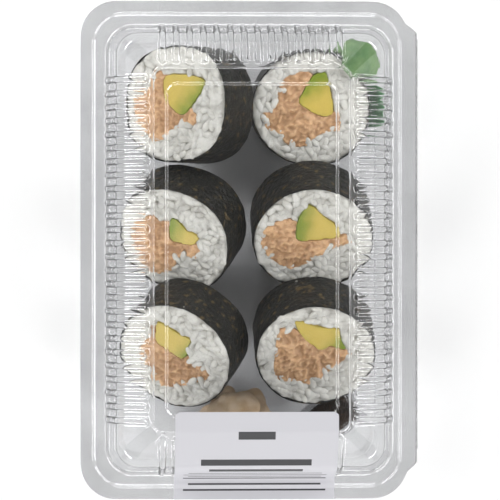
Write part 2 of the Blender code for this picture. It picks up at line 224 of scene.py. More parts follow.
def darker(colour, share):
    return tuple(part * share for part in colour)


def addRelief(nodes, links, shader, scale, detail, strength, distance):
    height = nodes.new("ShaderNodeGroup")
    height.node_tree = relief
    height.inputs["Scale"].default_value = scale
    height.inputs["Detail"].default_value = detail
    bump = nodes.new("ShaderNodeBump")
    bump.inputs["Strength"].default_value = strength
    bump.inputs["Distance"].default_value = distance * mm
    links.new(height.outputs["Height"], bump.inputs["Height"])
    links.new(bump.outputs["Normal"], shader.inputs["Normal"])


def softInside(shader, colour, weight):
    shader.inputs["Subsurface Weight"].default_value = weight
    shader.inputs["Subsurface Radius"].default_value = colour
    shader.inputs["Subsurface Scale"].default_value = 0.002


print("tools ready")

# Clear sheet of the box. A ring is (left, right, half length, corner radius, height).

boxLook = {
    "sheet": 0.35,
    "ribPitch": 5.36,
    "sideRibs": 26,
    "endRibs": 14,
    "ribBody": 1.45,
    "cornerSteps": 12,
    "longest": 2.2,
    "soften": 0.35,
    "marks": 5,
    "markStep": 0.45,
    "halfGap": 0.15,
    "rimStep": 0.4,
    "rimRight": 63.6,
    "rimFade": 1.2,
    "stripEnds": (-86.8, 88.5),
    "stripFade": 2.2,
    "foldSpan": (0.05, 0.75),
    "foldDrop": 0.2,
    "tint": (0.81, 0.813, 0.82),
    "roughness": 0.03,
}
hingeEdge = hingeX - boxLook["halfGap"]
flangeTop = hingeZ + boxLook["halfGap"] + boxLook["rimStep"]
lidRings = [
    (-67.1, boxLook["rimRight"], 99.2, 14.5, flangeTop - 0.5),
    (-67.0, 63.5, 99.1, 14.4, flangeTop),
    (-62.2, 60.7, 94.3, 12.7, flangeTop),
    (-61.6, 60.1, 93.7, 12.1, flangeTop + 0.9),
    (-57.6, 57.6, 89.9, 11.2, flangeTop + 0.9),
    (-56.6, 56.6, 88.9, 10.3, flangeTop + 1.5),
    (-52.8, 52.8, 85.4, 8.5, 41.0),
    (-50.0, 50.0, 82.6, 5.9, 43.4),
    (-40.4, 40.4, 73.2, 4.6, 48.9),
    (-39.0, 39.0, 71.8, 4.4, 49.7),
    (-38.5, 38.5, 71.3, 4.3, 50.6),
    (-33.8, 33.8, 65.4, 4.2, 50.7),
    (-33.1, 33.1, 64.7, 4.0, 51.7),
    (-10.0, 10.0, 41.0, 3.0, 51.7),
]
baseRings = [
    (-67.1, boxLook["rimRight"], 99.2, 14.5, hingeZ - boxLook["halfGap"]),
    (-61.9, 60.4, 94.0, 12.4, hingeZ - boxLook["halfGap"]),
    (-60.9, 59.4, 93.0, 11.4, hingeZ + 0.45),
    (-57.0, 57.0, 89.3, 10.8, hingeZ + 0.45),
    (-56.0, 56.0, 88.3, 10.0, hingeZ - 0.8),
    (-51.8, 51.8, 84.3, 9.2, 2.6),
    (-49.8, 49.8, 82.3, 8.0, 0.4),
    (-46.0, 46.0, 78.5, 7.0, 0.4),
    (-45.2, 45.2, 77.7, 6.6, 0.55),
    (-20.0, 20.0, 52.0, 4.0, 0.55),
]


def softened(rings, cut):  # rounds the bends of the profile; its first and last rings stay
    rings = [np.array(ring, float) for ring in rings]
    soft = [rings[0]]
    for before, here, after in zip(rings, rings[1:], rings[2:]):
        for other in (before, after):
            far = np.linalg.norm((other - here)[[1, 4]])
            soft.append(here + (other - here) * min(0.3, cut / far))
    return np.array(soft + [rings[-1]])


def runsOf(rings):  # how far along the profile each ring comes
    steps = np.linalg.norm(np.diff(np.array(rings, float)[:, [1, 4]], axis=0), axis=1)
    return np.concatenate([[0], np.cumsum(steps)])


def ringRows(rings, marks):  # rings close enough together to carry the ribs
    soften = boxLook["soften"]
    rings = softened(rings, soften)
    runs = runsOf(rings)
    spots = set(runs) | set(marks)
    for a, b in zip(runs, runs[1:]):
        if b - a > 1.5:
            spots |= {a + soften, b - soften}
    spots = sorted(spots)
    fine = [spots[0]]
    for a, b in zip(spots, spots[1:]):
        count = max(1, math.ceil((b - a) / boxLook["longest"]))
        fine += [a + (b - a) * k / count for k in range(1, count + 1)]
    rows = [np.array([np.interp(spot, runs, rings[:, k]) for k in range(5)]) for spot in fine]
    return rows, fine


def sideSamples(ribs):  # distances from a side's middle, closest together at a rib's edges
    pitch, body = boxLook["ribPitch"], boxLook["ribBody"]
    offsets = [-pitch / 2, -body - 0.35, -body, -body + 0.35, 0, body - 0.35, body, body + 0.35]
    half = ribs * pitch / 2
    return [(k + 0.5) * pitch + offset - half for k in range(ribs) for offset in offsets] + [half]


def ringColumns(ring):  # the points round one ring, with their side, place along it and outward way
    left, right, halfLength, radius, height = (float(value) for value in ring)
    middle, halfWidth = (left + right) / 2, (right - left) / 2
    columns = []
    for side in range(4):
        turn = Matrix.Rotation(side * math.pi / 2, 2)
        reach, run = (halfWidth, halfLength) if side % 2 == 0 else (halfLength, halfWidth)
        straight = run - radius
        samples = sideSamples(boxLook["endRibs"] if side % 2 else boxLook["sideRibs"])
        edge = samples[-1]
        squeeze = min(1.0, straight / edge)
        spots = [s * squeeze for s in samples]
        gap = straight - edge * squeeze
        spots = [-straight + gap * k / 3 for k in range(3)] + spots
        spots += [straight - gap * (2 - k) / 3 for k in range(3)]
        for along in spots:
            out = reach
            spot = turn @ Vector((out, along))
            columns.append((spot.x + middle, spot.y, height, side, along, turn @ Vector((1, 0))))
        centre = Vector((reach - radius, run - radius))
        for k in range(1, boxLook["cornerSteps"]):
            angle = k * math.pi / 2 / boxLook["cornerSteps"]
            way = Vector((math.cos(angle), math.sin(angle)))
            spot = turn @ (centre + radius * way)
            columns.append((spot.x + middle, spot.y, height, None, 0, turn @ way))
    rimShare = 1 - min(1.0, (boxLook["rimRight"] - right) / boxLook["rimFade"])
    if rimShare <= 0:
        return columns
    return widened(columns, right, rimShare)


def widened(columns, right, rimShare):  # carries the outermost rings out to the hinge
    front, back = boxLook["stripEnds"]
    fade = boxLook["stripFade"]
    low, high = boxLook["foldSpan"]
    drop = boxLook["foldDrop"] if low < rimShare < high else 0.0
    flange = []
    for x, y, z, side, along, way in columns:
        if x > 0:
            share = smoothStep(front - fade, front + fade, y) * (1 - smoothStep(back - fade, back + fade, y))
            x += ((hingeEdge - boxLook["rimRight"]) * rimShare + (right - x)) * share
            z -= drop * share
        flange.append((x, y, z, side, along, way))
    return flange


def ribHeight(side, along, run, start, end):  # a flat-topped bar with round ends
    pitch, body = boxLook["ribPitch"], boxLook["ribBody"]
    count = boxLook["endRibs"] if side % 2 else boxLook["sideRibs"]
    across = along / pitch + count / 2
    if across < 0 or across > count:
        return 0.0
    offset = (across - math.floor(across) - 0.5) * pitch
    past = max(0.0, start + body - run, run - end + body)
    return 1 - smoothStep(body - 0.36, body + 0.36, math.hypot(offset, past))


def sheetShell(name, rings, depth, first, last):  # ribs run between two places on the profile
    steps = [k * boxLook["markStep"] for k in range(boxLook["marks"])]
    rings, runs = ringRows(rings, [first + step for step in steps] + [last - step for step in steps])
    rows = []
    for index, (ring, run) in enumerate(zip(rings, runs)):
        before = rings[max(0, index - 1)]
        after = rings[min(len(rings) - 1, index + 1)]
        inward = np.array([before[1] - after[1], after[4] - before[4]])
        inward = inward / max(1e-9, np.linalg.norm(inward))
        outShare, upShare = float(inward[1]), float(inward[0])
        row = []
        for x, y, z, side, along, way in ringColumns(ring):
            lift = 0.0
            if side is not None and first - 1 < run < last + 1:
                lift = depth * ribHeight(side, along, run, first, last)
            out = lift * outShare
            row.append((x + way.x * out, y + way.y * out, z + lift * upShare))
        rows.append(row)
    count = len(rows[0])
    points = [p for row in rows for p in row]
    faces = []
    for r in range(len(rows) - 1):
        for c in range(count):
            n = (c + 1) % count
            faces.append((r * count + c, r * count + n, (r + 1) * count + n, (r + 1) * count + c))
    faces.append([(len(rows) - 1) * count + c for c in range(count)])
    print(name, len(rows), count)
    return meshPiece(name, points, faces)


def finishShell(obj):
    thicken(obj, boxLook["sheet"], -1.0)
    smoothAt(obj, 50)
    return obj


def clearPlastic():
    material, nodes, links, shader = newMaterial("clearPlastic", boxLook["roughness"])
    shader.inputs["Transmission Weight"].default_value = 1.0
    shader.inputs["IOR"].default_value = 1.45
    shader.inputs["Coat Weight"].default_value = 0.7
    addMottle(nodes, links, shader, boxLook["tint"], darker(boxLook["tint"], 0.97), 60, 0.4, 0.65)
    return material


plastic = clearPlastic()

lidRuns = runsOf(lidRings)
clearLid = finishShell(sheetShell("clearLid", lidRings, 0.72, lidRuns[4] + 0.1, lidRuns[8] - 0.5))
clearLid.data.materials.append(plastic)
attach(clearLid, "lid")
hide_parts("lid")

baseRuns = runsOf(baseRings)
clearTray = finishShell(sheetShell("clearTray", baseRings, 0.34, baseRuns[4] + 0.2, baseRuns[5] - 1.5))
clearTray.data.materials.append(plastic)
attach(clearTray, "tray")
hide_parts("tray_base")
for piece in (clearLid, clearTray):
    piece.visible_shadow = False


def makeHingeFilm():  # the bent strip that joins the two rims
    strip = {"front": -79.4, "back": 84.3, "radius": 0.35, "steps": 8, "wall": 0.2, "reach": 0.45}
    points = []
    for y in (strip["front"], strip["back"]):
        for k in range(strip["steps"] + 1):
            angle = -math.pi / 2 + math.pi * k / strip["steps"]
            x = hingeEdge + strip["radius"] * math.cos(angle)
            points.append((x, y, hingeZ + strip["radius"] * math.sin(angle)))
    count = strip["steps"] + 1
    faces = [(k, count + k, count + k + 1, k + 1) for k in range(strip["steps"])]
    film = meshPiece("hingeFilm", points, faces)
    thicken(film, strip["wall"], 0.0)
    smoothAt(film, 60)
    film.data.materials.append(plastic)
    film.visible_shadow = False
    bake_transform(film)


makeHingeFilm()
print("box done")

# Rolls. Fillings are plan points about the middle of the upper face, as in the solids.

floorZ = 0.8
rolls = {
    "A": {
        "centre": (-29.6, 57.9), "radius": 24.3, "thick": 21.6, "tilt": 33.0, "lean": 180.0,
        "waves": [(4, 0.03, 45.0)], "seed": 11, "green": (0.75, -0.65, 2.0),
        "avocado": [(-4.5, 12.3), (5.5, 11.4), (12.2, 9.2), (9.5, 3.5), (2.6, -6.3), (-5.2, 3.0)],
        "tuna": [
            (-8.0, 14.5), (-10.5, 5.5), (-15.8, 3.9), (-16.6, -0.5), (-15.0, -6.0), (-11.7, -10.4),
            (-8.4, -14.9), (-5.1, -14.5), (0.6, -9.2), (6.7, -9.6), (8.7, -5.9), (7.1, -2.7),
            (2.5, 3.0), (-1.0, 8.5), (-3.0, 12.0),
        ],
    },
    "B": {
        "centre": (25.0, 56.4), "radius": 23.9, "thick": 22.0, "tilt": 5.0, "lean": 270.0,
        "waves": [(2, 0.012, 0.0), (3, 0.01, 60.0)], "seed": 12, "green": (-0.55, 0.85, 5.0),
        "avocado": [
            (-6.0, 2.7), (-1.3, 10.2), (-0.1, 13.0), (4.0, 14.8), (6.2, 14.6), (7.8, 6.7),
            (8.8, 2.3), (8.6, -2.4), (4.6, -3.6), (-1.7, -0.4),
        ],
        "tuna": [
            (-12.0, 11.4), (-6.4, 14.6), (0.3, 14.8), (3.0, 8.0), (5.0, 1.0), (12.1, -2.4),
            (11.9, -9.1), (7.8, -8.7), (1.5, -11.1), (-2.5, -15.8), (-10.8, -14.3),
            (-11.6, -9.9), (-17.5, -9.1), (-20.2, -3.6), (-19.5, -0.8), (-15.9, 0.8), (-13.6, 6.3),
        ],
    },
    "C": {
        "centre": (-30.2, 3.8), "radius": 23.7, "thick": 20.8, "tilt": 37.0, "lean": 232.0,
        "waves": [(2, 0.01, 150.0), (4, 0.015, 35.0)], "seed": 13, "green": (-0.95, 0.3, -1.0),
        "avocado": [
            (-1.7, 8.5), (0.6, 8.5), (2.6, 6.5), (5.1, 3.6), (7.5, 3.0), (10.4, 0.6),
            (7.5, -2.3), (3.8, -1.5), (-1.7, -0.5),
        ],
        "tuna": [
            (-9.0, 10.5), (-15.3, 7.7), (-17.6, 2.8), (-14.1, -5.0), (-11.7, -12.0), (-5.1, -13.5),
            (0.6, -11.5), (1.4, -7.0), (5.9, -5.8), (8.3, -7.8), (11.6, -5.0), (7.0, 0.5),
            (2.5, 4.5), (-0.5, 7.5), (-6.0, 7.7),
        ],
    },
    "D": {
        "centre": (25.2, 4.0), "radius": 24.0, "thick": 22.4, "tilt": 31.0, "lean": 270.0,
        "waves": [(2, 0.02, 0.0), (3, 0.01, 90.0)], "seed": 14, "green": (-1.0, 0.15, 3.0),
        "avocado": [
            (-3.3, 14.0), (0.3, 12.6), (5.0, 8.3), (8.4, 6.3), (11.7, 1.0), (1.9, -0.3),
            (-7.2, -0.8), (-7.0, 6.3),
        ],
        "tuna": [
            (-8.4, 8.7), (-15.9, 7.1), (-20.6, 3.2), (-20.8, -1.6), (-19.0, -6.1), (-13.2, -9.9),
            (-7.6, -11.9), (0.3, -8.3), (4.6, -4.7), (10.5, -2.8), (15.3, -0.8), (14.9, 2.4),
            (8.0, 2.0), (-2.0, 3.0),
        ],
    },
    "E": {
        "centre": (-29.8, -42.2), "radius": 23.8, "thick": 21.2, "tilt": 37.0, "lean": 232.0,
        "waves": [(2, 0.01, 135.0), (4, 0.01, 10.0)], "seed": 15, "green": (0.8, -0.6, 1.0),
        "avocado": [
            (-7.6, 14.0), (-4.7, 13.2), (1.4, 8.9), (6.7, 6.9), (4.7, 3.0), (4.9, -0.1),
            (2.4, -1.2), (-1.9, 1.8), (-7.6, 5.4),
        ],
        "tuna": [
            (-9.6, 12.8), (-10.4, 7.9), (-15.3, 1.3), (-10.9, -3.6), (-8.4, -9.3), (-2.7, -13.3),
            (5.9, -11.3), (14.6, -8.9), (13.6, -4.8), (9.0, -3.6), (3.5, 1.5), (-3.0, 8.0),
            (-6.5, 12.0),
        ],
    },
    "F": {
        "centre": (26.0, -42.0), "radius": 24.0, "thick": 22.4, "tilt": 31.0, "lean": 270.0,
        "waves": [(2, 0.014, 0.0), (3, 0.008, 240.0)], "seed": 16, "green": (0.8, -0.6, 2.5),
        "avocado": [
            (-9.3, 14.2), (-4.3, 13.3), (1.7, 11.2), (9.5, 11.0), (9.7, 6.9), (12.7, 2.2),
            (8.6, 2.8), (5.8, 4.1), (2.2, 1.7), (-2.4, 5.0), (-6.6, 8.7),
        ],
        "tuna": [
            (-14.6, 11.5), (-15.7, 7.8), (-16.2, -1.8), (-16.2, -7.3), (-14.0, -10.6), (-8.9, -10.1),
            (-4.3, -11.9), (2.2, -10.1), (6.7, -5.1), (14.1, 0.0), (13.2, 2.2), (5.0, 6.5),
            (-3.0, 9.0), (-8.5, 10.5),
        ],
    },
}


def rimRadius(roll, angle):
    wave = sum(d * math.cos(n * (angle - math.radians(a))) for n, d, a in roll["waves"])
    return roll["radius"] * (1 + wave)


def rimLine(roll, count, extra):
    angles = np.linspace(0, 2 * math.pi, count + 1)[:-1]
    return [Vector((math.cos(a), math.sin(a))) * (rimRadius(roll, a) + extra) for a in angles]


def rollPlace(roll):  # from the roll's own space, with its upper face at height 0, to the tray's
    tilt, lean = math.radians(roll["tilt"]), math.radians(roll["lean"])
    reach = max(rimRadius(roll, k * math.pi / 18) for k in range(36))
    height = floorZ + reach * math.sin(tilt) + roll["thick"] * math.cos(tilt)
    axis = Vector((-math.sin(lean), math.cos(lean), 0))
    return Matrix.Translation(Vector((*roll["centre"], height)) * mm) @ Matrix.Rotation(tilt, 4, axis)


def ontoFace(points, roll):
    lean = math.radians(roll["lean"])
    along = Vector((math.cos(lean), math.sin(lean)))
    stretch = 1 / math.cos(math.radians(roll["tilt"])) - 1
    return [p + stretch * p.dot(along) * along for p in map(Vector, points)]


def rounded(points, share, passes):
    for _ in range(passes):
        soft = []
        for before, here, after in zip(points[-1:] + points[:-1], points, points[1:] + points[:1]):
            soft += [here.lerp(before, share), here.lerp(after, share)]
        points = soft
    return points


def column(name, outline, top, bottom):  # draws an outline out into a closed block
    block = meshPiece(name, [(p.x, p.y, bottom) for p in outline], [list(range(len(outline)))])
    pick(block)
    editAll()
    bpy.ops.mesh.extrude_region_move(TRANSFORM_OT_translate={"value": (0, 0, (top - bottom) * mm)})
    bpy.ops.mesh.select_all(action="SELECT")
    bpy.ops.mesh.normals_make_consistent(inside=False)
    bpy.ops.object.mode_set(mode="OBJECT")
    return block


def carve(obj, cutter):  # cuts the cutter's shape away and removes the cutter
    cut = obj.modifiers.new("cut", "BOOLEAN")
    cut.operation = "DIFFERENCE"
    cut.solver = "EXACT"
    cut.object = cutter
    applyAll(obj)
    bpy.data.objects.remove(cutter)


def remesh(obj, size):
    skin = obj.modifiers.new("skin", "REMESH")
    skin.mode = "VOXEL"
    skin.voxel_size = size * mm
    skin.use_smooth_shade = True
    applyAll(obj)


def moveOut(obj, shift, deep=None):  # shift gets a point in millimetres and its normal, and gives a move along it
    mesh = obj.data
    moved = []
    count = len(mesh.vertices)
    normals = np.empty(count * 3, np.float32)
    mesh.vertices.foreach_get("normal", normals)
    normals = normals.reshape(-1, 3)
    for index, vert in enumerate(mesh.vertices):
        moved.append(float(shift(vert.co / mm, normals[index])))
        vert.co += Vector(normals[index]) * moved[-1] * mm
    mesh.update()
    if deep:  # painted shade: marks how far each point lies in a crevice, from 0 to 1, so the colour darkens there
        mark = mesh.attributes.new("deep", "FLOAT", "POINT")
        mark.data.foreach_set("value", [1 - smoothStep(*deep, value) for value in moved])


def inside(point, outline):
    hit = False
    for a, b in zip(outline, outline[1:] + outline[:1]):
        if (a.y > point.y) != (b.y > point.y):
            if point.x < a.x + (point.y - a.y) * (b.x - a.x) / (b.y - a.y):
                hit = not hit
    return hit


def clearance(point, outline):  # distance to an outline's nearest side
    best = 99.0
    for a, b in zip(outline, outline[1:] + outline[:1]):
        span = b - a
        share = max(0.0, min(1.0, (point - a).dot(span) / max(1e-9, span.length_squared)))
        best = min(best, (point - a - share * span).length)
    return best


# Finishes of the food

# the rice gap colour is painted shade, laid into the crevices between grains
riceLook = {
    "colour": (0.68, 0.67, 0.62), "shade": (0.50, 0.49, 0.445), "gap": (0.36, 0.35, 0.31), "roughness": 0.35,
    "grain": (2.9, 1.5, 1.25), "spacing": 2.35, "perFace": 230, "embed": 0.5,
}
noriLook = {"colour": (0.008, 0.008, 0.006), "fleck": (0.10, 0.07, 0.028), "roughness": 0.45, "wall": 0.4}
# the tuna gap colour is painted shade, laid into the crevices between flakes
tunaLook = {
    "colour": (0.72, 0.45, 0.24), "shade": (0.46, 0.26, 0.13), "gap": (0.40, 0.22, 0.10), "roughness": 0.45,
    "flake": 2.4, "crumb": 1.3,
}
avocadoLook = {
    "flesh": (0.60, 0.455, 0.095), "skin": (0.20, 0.27, 0.02), "speck": (0.34, 0.24, 0.06), "roughness": 0.38,
}


def addDeep(nodes, links, colour, gap):  # painted shade: turns the colour towards a darker one inside crevices
    deep = nodes.new("ShaderNodeAttribute")
    deep.attribute_name = "deep"
    return addMix(nodes, links, deep.outputs["Fac"], colour, gap)


def riceFinish():
    material, nodes, links, shader = newMaterial("cookedRice", riceLook["roughness"])
    # painted shade: the rice turns to the gap colour in its crevices
    sunk = addDeep(nodes, links, riceLook["colour"], riceLook["gap"])
    addMottle(nodes, links, shader, sunk, riceLook["shade"], 220, 0.4, 0.7)
    softInside(shader, (1.0, 0.95, 0.8), 0.15)
    addRelief(nodes, links, shader, 900, 2, 0.15, 0.1)
    return material


def noriFinish():
    material, nodes, links, shader = newMaterial("roastedNori", noriLook["roughness"])
    addMottle(nodes, links, shader, noriLook["colour"], noriLook["fleck"], 360, 0.56, 0.68)
    shader.inputs["Specular IOR Level"].default_value = 0.3
    addRelief(nodes, links, shader, 480, 6, 1.0, 1.3)
    return material


def tunaFinish():
    material, nodes, links, shader = newMaterial("flakedTuna", tunaLook["roughness"])
    # painted shade: the tuna turns to the gap colour in its crevices
    sunk = addDeep(nodes, links, tunaLook["colour"], tunaLook["gap"])
    addMottle(nodes, links, shader, sunk, tunaLook["shade"], 380, 0.45, 0.75)
    softInside(shader, (1.0, 0.6, 0.4), 0.12)
    addRelief(nodes, links, shader, 1400, 3, 0.35, 0.25)
    return material


def avocadoFinish():
    material, nodes, links, shader = newMaterial("avocadoFlesh", avocadoLook["roughness"])
    ripe = nodes.new("ShaderNodeAttribute")
    ripe.attribute_name = "green"
    tone = addMix(nodes, links, ripe.outputs["Fac"], avocadoLook["flesh"], avocadoLook["skin"])
    addMottle(nodes, links, shader, tone, avocadoLook["speck"], 700, 0.68, 0.8)
    softInside(shader, (1.0, 0.8, 0.2), 0.12)
    addRelief(nodes, links, shader, 900, 2, 0.12, 0.12)
    return material


riceMaterial = riceFinish()
noriMaterial = noriFinish()
tunaMaterial = tunaFinish()
avocadoMaterial = avocadoFinish()


def ruffle(p, scale, seed):
    return noise.noise(Vector(p) / scale + Vector((seed * 7.3, seed * 1.7, seed * 3.1)))


def makeWrap(key, roll, place):
    bpy.ops.mesh.primitive_cylinder_add(
        vertices=120, radius=roll["radius"] * mm, depth=roll["thick"] * mm, end_fill_type="NOTHING"
    )
    wrap = newest("noriWrap" + key)
    bpy.ops.object.mode_set(mode="EDIT")
    bpy.ops.mesh.select_all(action="DESELECT")
    sheet = bmesh.from_edit_mesh(wrap.data)
    for edge in sheet.edges:
        edge.select = abs(edge.verts[0].co.z - edge.verts[1].co.z) > mm
    bmesh.update_edit_mesh(wrap.data)
    bpy.ops.mesh.subdivide(number_cuts=16)
    bpy.ops.object.mode_set(mode="OBJECT")
    seed = roll["seed"]
    for vert in wrap.data.vertices:
        angle = math.atan2(vert.co.y, vert.co.x)
        high = vert.co.z / mm - roll["thick"] / 2
        around = (math.cos(angle) * 24, math.sin(angle) * 24, high)
        crease = 0.35 * ruffle(around, 7.0, seed) + 0.2 * ruffle(around, 2.6, seed + 5)
        edge = smoothStep(-3.0, 0.0, high)
        radius = rimRadius(roll, angle) - 0.35 + crease - 0.25 * edge
        lip = 0.5 * ruffle((around[0], around[1], 0), 3.5, seed + 9) * edge
        high = min(high + lip, -0.2)
        vert.co = Vector((radius * math.cos(angle), radius * math.sin(angle), high)) * mm
    thicken(wrap, noriLook["wall"], -1.0)
    wrap.matrix_world = place
    inPlace(wrap)
    smoothAt(wrap, 60)
    wrap.data.materials.append(noriMaterial)
    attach(wrap, "tray")
    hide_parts("nori_" + key)


def makeRice(key, roll, place, tunaLine, avocadoLine):
    core = column("riceCore" + key, rimLine(roll, 96, -0.9), -0.3, 0.3 - roll["thick"])
    for line in (tunaLine, avocadoLine):
        carve(core, column("cut", line, 3, -roll["thick"] - 3))
    remesh(core, 0.75)
    seed = roll["seed"]

    def uneven(p, n):
        return abs(n[2]) * (0.9 * ruffle(p, 2.4, seed) + 0.9 * ruffle(p, 6.0, seed + 3))

    # the last span sets which hollows get painted shade
    moveOut(core, uneven, (-0.45, 0.3))
    core.matrix_world = place
    inPlace(core)
    smoothAt(core, 80)
    core.data.materials.append(riceMaterial)
    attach(core, "tray")
    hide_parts("rice_" + key)


def makeTuna(key, roll, place, line, avocadoLine):
    flakes = column("tunaFilling" + key, line, 0.2, -roll["thick"])
    carve(flakes, column("cut", avocadoLine, 3, -roll["thick"] - 3))
    remesh(flakes, 0.5)
    seed = roll["seed"] + 20

    def crag(p, n):
        cells = noise.voronoi(Vector(p) / tunaLook["flake"] + Vector((seed, seed, seed)))[0]
        crumbs = noise.voronoi(Vector(p) / tunaLook["crumb"] + Vector((seed, 1, seed)))[0]
        flake = 0.9 - 2.2 * min(0.4, abs(ruffle(p, 2.6, seed)))
        height = 0.8 * flake - 0.7 * cells[0] - 0.5 * crumbs[0] + 0.5 * ruffle(p, 0.9, seed)
        return abs(n[2]) * (height + 0.2 + 0.6 * ruffle(p, 5.0, seed + 2))

    # the last span sets which hollows get painted shade
    moveOut(flakes, crag, (-0.6, 0.5))
    flakes.matrix_world = place
    inPlace(flakes)
    smoothAt(flakes, 60)
    flakes.data.materials.append(tunaMaterial)
    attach(flakes, "tray")
    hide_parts("tuna_" + key)


def makeAvocado(key, roll, place, line):
    slab = column("avocadoSlice" + key, line, 0.0, -roll["thick"])
    remesh(slab, 0.6)
    seed = roll["seed"] + 40
    moveOut(slab, lambda p, n: 0.25 * ruffle(p, 5.0, seed) + 0.08 * ruffle(p, 1.2, seed))
    lean = math.radians(roll["lean"])
    shrink = math.cos(math.radians(roll["tilt"]))
    green = slab.data.attributes.new("green", "FLOAT", "POINT")
    dx, dy, start = roll["green"]
    along = Vector((math.cos(lean), math.sin(lean)))
    for index, vert in enumerate(slab.data.vertices):
        p = Vector((vert.co.x, vert.co.y)) / mm
        plan = p - (1 - shrink) * p.dot(along) * along
        edge = clearance(p, line)
        across = plan.x * dx + plan.y * dy + 1.5 * ruffle(vert.co / mm, 3.0, seed)
        ramp = smoothStep(start - 4.5, start + 4.5, across)
        rind = 0.6 * (1 - smoothStep(0.2, 1.6, edge))
        green.data[index].value = min(1.0, max(ramp, rind * ramp + 0.25 * rind))
    slab.matrix_world = place
    inPlace(slab)
    smoothAt(slab, 60)
    slab.data.materials.append(avocadoMaterial)
    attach(slab, "tray")
    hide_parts("avocado_" + key)


def grainShape():  # one cooked grain, drawn along X
    bpy.ops.mesh.primitive_ico_sphere_add(subdivisions=2, radius=1)
    grain = newest("grain")
    editAll()
    bpy.ops.transform.resize(value=riceLook["grain"])
    bpy.ops.object.mode_set(mode="OBJECT")
    points = np.array([v.co for v in grain.data.vertices])
    points[:, 2] -= 0.05 * points[:, 0] ** 2 / riceLook["grain"][0]
    faces = np.array([list(p.vertices) for p in grain.data.polygons])
    bpy.data.objects.remove(grain)
    return points, faces


def grainSpots(roll, draw, tunaLine, avocadoLine, share):
    spots = []
    tries = 0
    while len(spots) < riceLook["perFace"] * share and tries < 9000:
        tries += 1
        angle, far = draw.uniform(0, 2 * math.pi), roll["radius"] * math.sqrt(draw.random())
        p = Vector((math.cos(angle), math.sin(angle))) * far
        if far > rimRadius(roll, angle) - 2.6:
            continue
        for line, room in ((tunaLine, draw.uniform(-1.2, 0.6)), (avocadoLine, 1.2)):
            away = clearance(p, line)
            if inside(p, line):
                away = -away
            if away < room:
                break
        else:
            if all((p - q).length > riceLook["spacing"] for q in spots[-400:]):
                spots.append(p)
    return spots


def makeGrains(shapes):
    basePoints, baseFaces = grainShape()
    points, faces = [], []
    for roll, place, tunaLine, avocadoLine in shapes:
        draw = random.Random(roll["seed"])
        for side, level, share in ((1, -0.86, 1.0), (-1, 0.86 - roll["thick"], 0.5)):
            for spot in grainSpots(roll, draw, tunaLine, avocadoLine, share):
                size = draw.uniform(0.82, 1.12)
                calm = smoothStep(1.8, 5.0, roll["radius"] - spot.length)
                swirl = math.atan2(spot.y, spot.x) + math.pi / 2 + draw.gauss(0, 0.25 + 0.8 * calm)
                turn = Matrix.Rotation(swirl, 3, "Z") @ Matrix.Rotation(draw.gauss(0, 0.22), 3, "Y")
                turn = turn @ Matrix.Rotation(draw.uniform(-0.6, 0.6), 3, "X")
                height = level + side * (riceLook["embed"] * draw.uniform(-1.2, 0.9))
                moved = basePoints * size @ np.array(turn).T + np.array((spot.x, spot.y, height))
                world = np.array(place.to_3x3()) @ moved.T
                faces.append(baseFaces + len(points) * len(basePoints))
                points.append(world.T + np.array(place.translation) / mm)
    points, faces = np.concatenate(points), np.concatenate(faces)
    grains = meshPiece("riceGrains", points, faces.tolist())
    pick(grains)
    bpy.ops.object.shade_smooth()
    grains.data.materials.append(riceMaterial)
    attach(grains, "tray")
    print("grains", len(faces))


shapes = []
for key, roll in rolls.items():
    place = rollPlace(roll)
    tunaLine = rounded(ontoFace(roll["tuna"], roll), 0.25, 2)
    avocadoLine = rounded(ontoFace(roll["avocado"], roll), 0.2, 2)
    makeWrap(key, roll, place)
    makeRice(key, roll, place, tunaLine, avocadoLine)
    makeTuna(key, roll, place, tunaLine, avocadoLine)
    makeAvocado(key, roll, place, avocadoLine)
    shapes.append((roll, place, tunaLine, avocadoLine))
    print("roll", key)
makeGrains(shapes)

# Side dishes, label and the leaf

sideLook = {
    "wasabi": (0.14, 0.25, 0.09), "wasabiShade": (0.075, 0.175, 0.055),
    "leaf": (0.02, 0.25, 0.045),
    "ginger": (0.62, 0.47, 0.32), "gingerShade": (0.50, 0.35, 0.20),
    "sauce": (0.02, 0.011, 0.006),
    "paper": (0.64, 0.635, 0.67), "ink": (0.05, 0.05, 0.055),
}


def rollRoom(key, extra):  # the space a roll takes up, in the tray
    roll = rolls[key]
    room = column("room", rimLine(roll, 72, extra), 4, -roll["thick"] - 4)
    room.matrix_world = rollPlace(roll)
    inPlace(room)
    return room


def makeWasabi():
    lump = {"middle": (42.4, 75.2, 23.5), "radii": (10.3, 9.3, 9.0), "seed": 31}
    bpy.ops.mesh.primitive_ico_sphere_add(subdivisions=5, radius=mm)
    wasabi = newest("wasabiLump")
    editAll()
    bpy.ops.transform.resize(value=lump["radii"])
    bpy.ops.object.mode_set(mode="OBJECT")
    wasabi.location = Vector(lump["middle"]) * mm
    inPlace(wasabi)
    carve(wasabi, rollRoom("B", 0.4))
    remesh(wasabi, 0.55)
    seed = lump["seed"]
    moveOut(wasabi, lambda p, n: 1.6 * ruffle(p, 6.0, seed) + 0.7 * ruffle(p, 2.4, seed + 1) - 0.3)
    smoothAt(wasabi, 80)
    material, nodes, links, shader = newMaterial("wasabiPaste", 0.5)
    addMottle(nodes, links, shader, sideLook["wasabi"], sideLook["wasabiShade"], 160, 0.4, 0.7)
    softInside(shader, (0.4, 1.0, 0.3), 0.12)
    addRelief(nodes, links, shader, 700, 4, 0.4, 0.25)
    wasabi.data.materials.append(material)
    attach(wasabi, "tray")
    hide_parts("wasabi")


